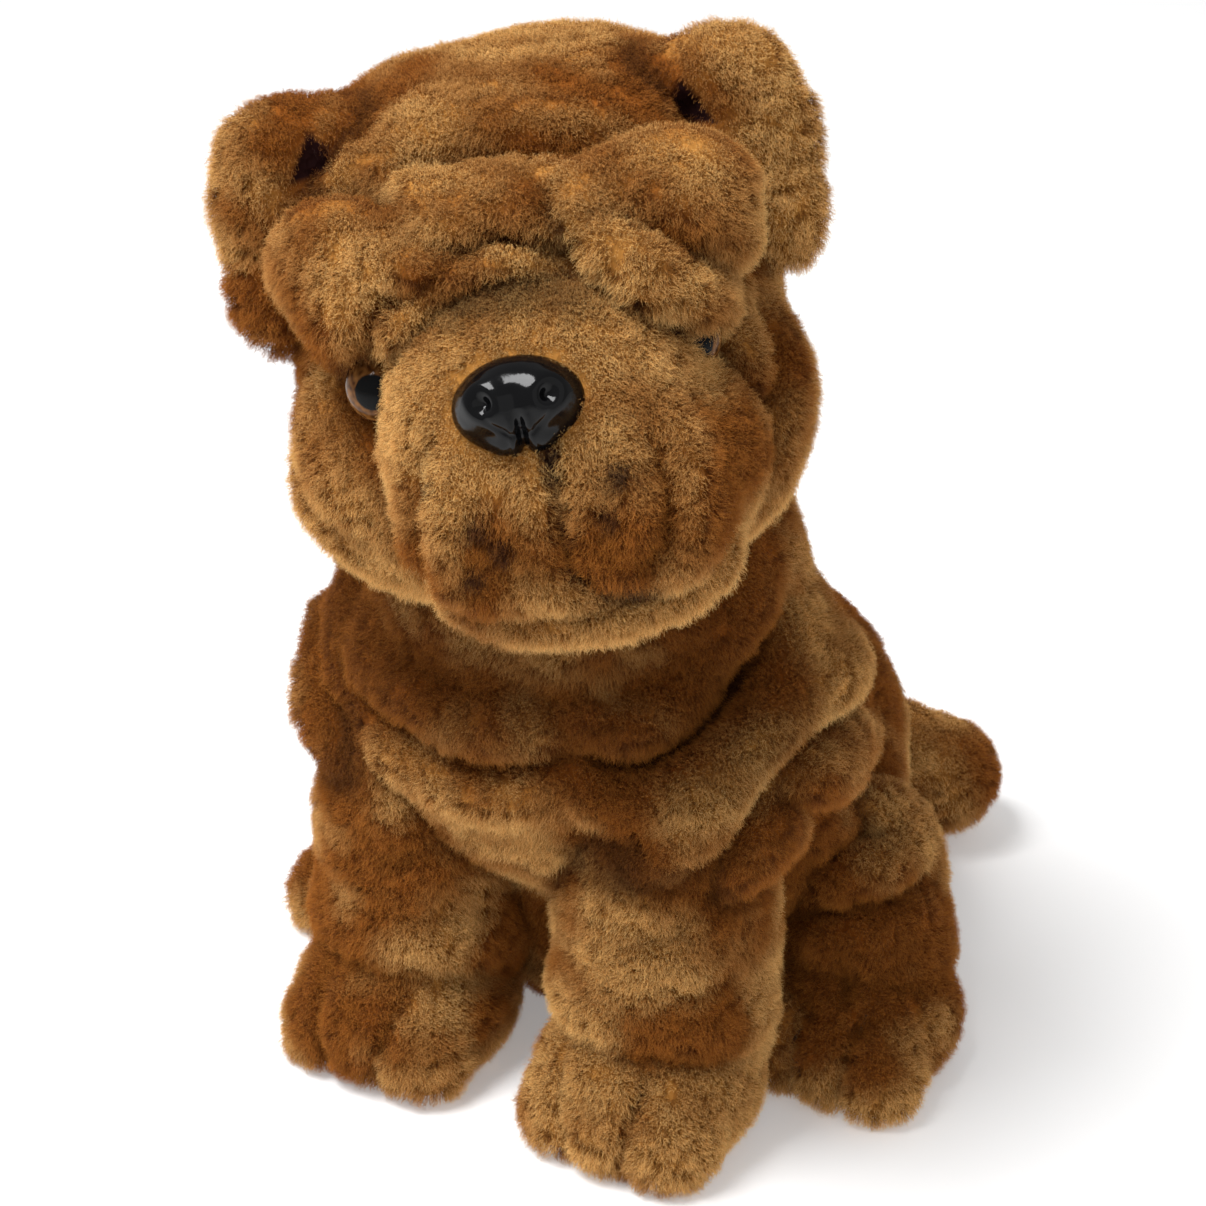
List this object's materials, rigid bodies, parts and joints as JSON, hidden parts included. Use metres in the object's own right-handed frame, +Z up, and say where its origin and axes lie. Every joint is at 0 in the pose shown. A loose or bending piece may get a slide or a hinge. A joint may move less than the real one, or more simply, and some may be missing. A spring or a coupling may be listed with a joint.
{
  "type": "plush dog",
  "caption": "Sitting wrinkled plush dog with a turned head, flap ears, moulded nose, shanked eyes and jointed sewn-on legs and tail.",
  "frame": {"origin": "centre of the flat seat under the rump, on the surface the dog sits on", "axes": "+Z up, the chest faces -Y, the dog's left is +X; the head is at rest turned to its left, as it is sewn"},
  "size_m": [0.1728, 0.2152, 0.246],
  "materials": {
    "pile_fabric": "caramel long-pile plush, darker and redder at the roots",
    "fibre_stuffing": "loose white polyester fibre",
    "pellet_bag_cloth": "thin woven bag of plastic pellets",
    "nose_plastic": "gloss black moulding",
    "eye_plastic": "clear-domed amber brown with a black pupil",
    "washer_plastic": "natural moulded plastic",
    "toe_thread": "dark brown sewing thread, sunk in the pile"
  },
  "bodies": {
    "torso": {"seat_panel": "pile_fabric", "chest_panel": "pile_fabric", "back_left_panel": "pile_fabric", "back_right_panel": "pile_fabric", "pellet_bag": "pellet_bag_cloth", "torso_stuffing": "fibre_stuffing"},
    "neck": {"neck_stuffing": "fibre_stuffing"},
    "head": {"head_back_panel": "pile_fabric", "forehead_panel": "pile_fabric", "cheek_left_panel": "pile_fabric", "cheek_right_panel": "pile_fabric", "head_stuffing": "fibre_stuffing", "muzzle_panel": "pile_fabric", "muzzle_stuffing": "fibre_stuffing", "chin_pad": "pile_fabric", "jowl_left_pad": "pile_fabric", "jowl_right_pad": "pile_fabric", "nose": "nose_plastic", "nose_washer": "washer_plastic", "eye_left": "eye_plastic", "eye_left_washer": "washer_plastic", "eye_right": "eye_plastic", "eye_right_washer": "washer_plastic"},
    "ear_left": {"ear_left_back_ply": "pile_fabric", "ear_left_front_ply": "pile_fabric"},
    "ear_right": {"ear_right_back_ply": "pile_fabric", "ear_right_front_ply": "pile_fabric"},
    "front_leg_left": {"front_leg_left_skin": "pile_fabric", "front_leg_left_sole": "pile_fabric", "front_leg_left_stuffing": "fibre_stuffing", "front_leg_left_toe_thread_1": "toe_thread", "front_leg_left_toe_thread_2": "toe_thread"},
    "front_leg_right": {"front_leg_right_skin": "pile_fabric", "front_leg_right_sole": "pile_fabric", "front_leg_right_stuffing": "fibre_stuffing", "front_leg_right_toe_thread_1": "toe_thread", "front_leg_right_toe_thread_2": "toe_thread"},
    "hind_leg_left": {"hind_leg_left_skin": "pile_fabric", "hind_leg_left_sole": "pile_fabric", "hind_leg_left_stuffing": "fibre_stuffing", "hind_leg_left_toe_thread_1": "toe_thread", "hind_leg_left_toe_thread_2": "toe_thread"},
    "hind_leg_right": {"hind_leg_right_skin": "pile_fabric", "hind_leg_right_sole": "pile_fabric", "hind_leg_right_stuffing": "fibre_stuffing", "hind_leg_right_toe_thread_1": "toe_thread", "hind_leg_right_toe_thread_2": "toe_thread"},
    "tail": {"tail_skin": "pile_fabric", "tail_stuffing": "fibre_stuffing"}
  },
  "joints": [
    {"name": "head_turn", "type": "hinge", "parent": "torso", "child": "neck", "pos_m": [0, -0.047, 0.129], "axis": [0, 0, 1], "range_deg": [-45, 15], "stiffness_Nm_per_rad": 1.2},
    {"name": "head_nod", "type": "hinge", "parent": "neck", "child": "head", "pos_m": [0, -0.047, 0.129], "axis": [0.8395, 0.5178, 0.1647], "range_deg": [-6, 8], "stiffness_Nm_per_rad": 3},
    {"name": "ear_left_flap", "type": "hinge", "parent": "head", "child": "ear_left", "pos_m": [0.02363, -0.04149, 0.24522], "axis": [0.5138, -0.8551, 0.0698], "range_deg": [0, 50], "stiffness_Nm_per_rad": 0.03},
    {"name": "ear_right_flap", "type": "hinge", "parent": "head", "child": "ear_right", "pos_m": [-0.04521, -0.08395, 0.23172], "axis": [-0.5138, 0.8551, -0.0698], "range_deg": [0, 50], "stiffness_Nm_per_rad": 0.03},
    {"name": "front_leg_left_swing", "type": "hinge", "parent": "torso", "child": "front_leg_left", "pos_m": [0.0325, -0.0675, 0.076], "axis": [-1, 0, 0], "range_deg": [0, 30], "stiffness_Nm_per_rad": 0.5},
    {"name": "front_leg_right_swing", "type": "hinge", "parent": "torso", "child": "front_leg_right", "pos_m": [-0.0325, -0.0675, 0.076], "axis": [-1, 0, 0], "range_deg": [0, 30], "stiffness_Nm_per_rad": 0.5},
    {"name": "hind_leg_left_splay", "type": "hinge", "parent": "torso", "child": "hind_leg_left", "pos_m": [0.053, -0.012, 0.031], "axis": [0, 0, 1], "range_deg": [0, 25], "stiffness_Nm_per_rad": 0.5},
    {"name": "hind_leg_right_splay", "type": "hinge", "parent": "torso", "child": "hind_leg_right", "pos_m": [-0.053, -0.012, 0.031], "axis": [0, 0, -1], "range_deg": [0, 25], "stiffness_Nm_per_rad": 0.5},
    {"name": "tail_wag", "type": "hinge", "parent": "torso", "child": "tail", "pos_m": [0, 0.046, 0.026], "axis": [0, 0, 1], "range_deg": [-5, 70], "stiffness_Nm_per_rad": 0.2}
  ]
}
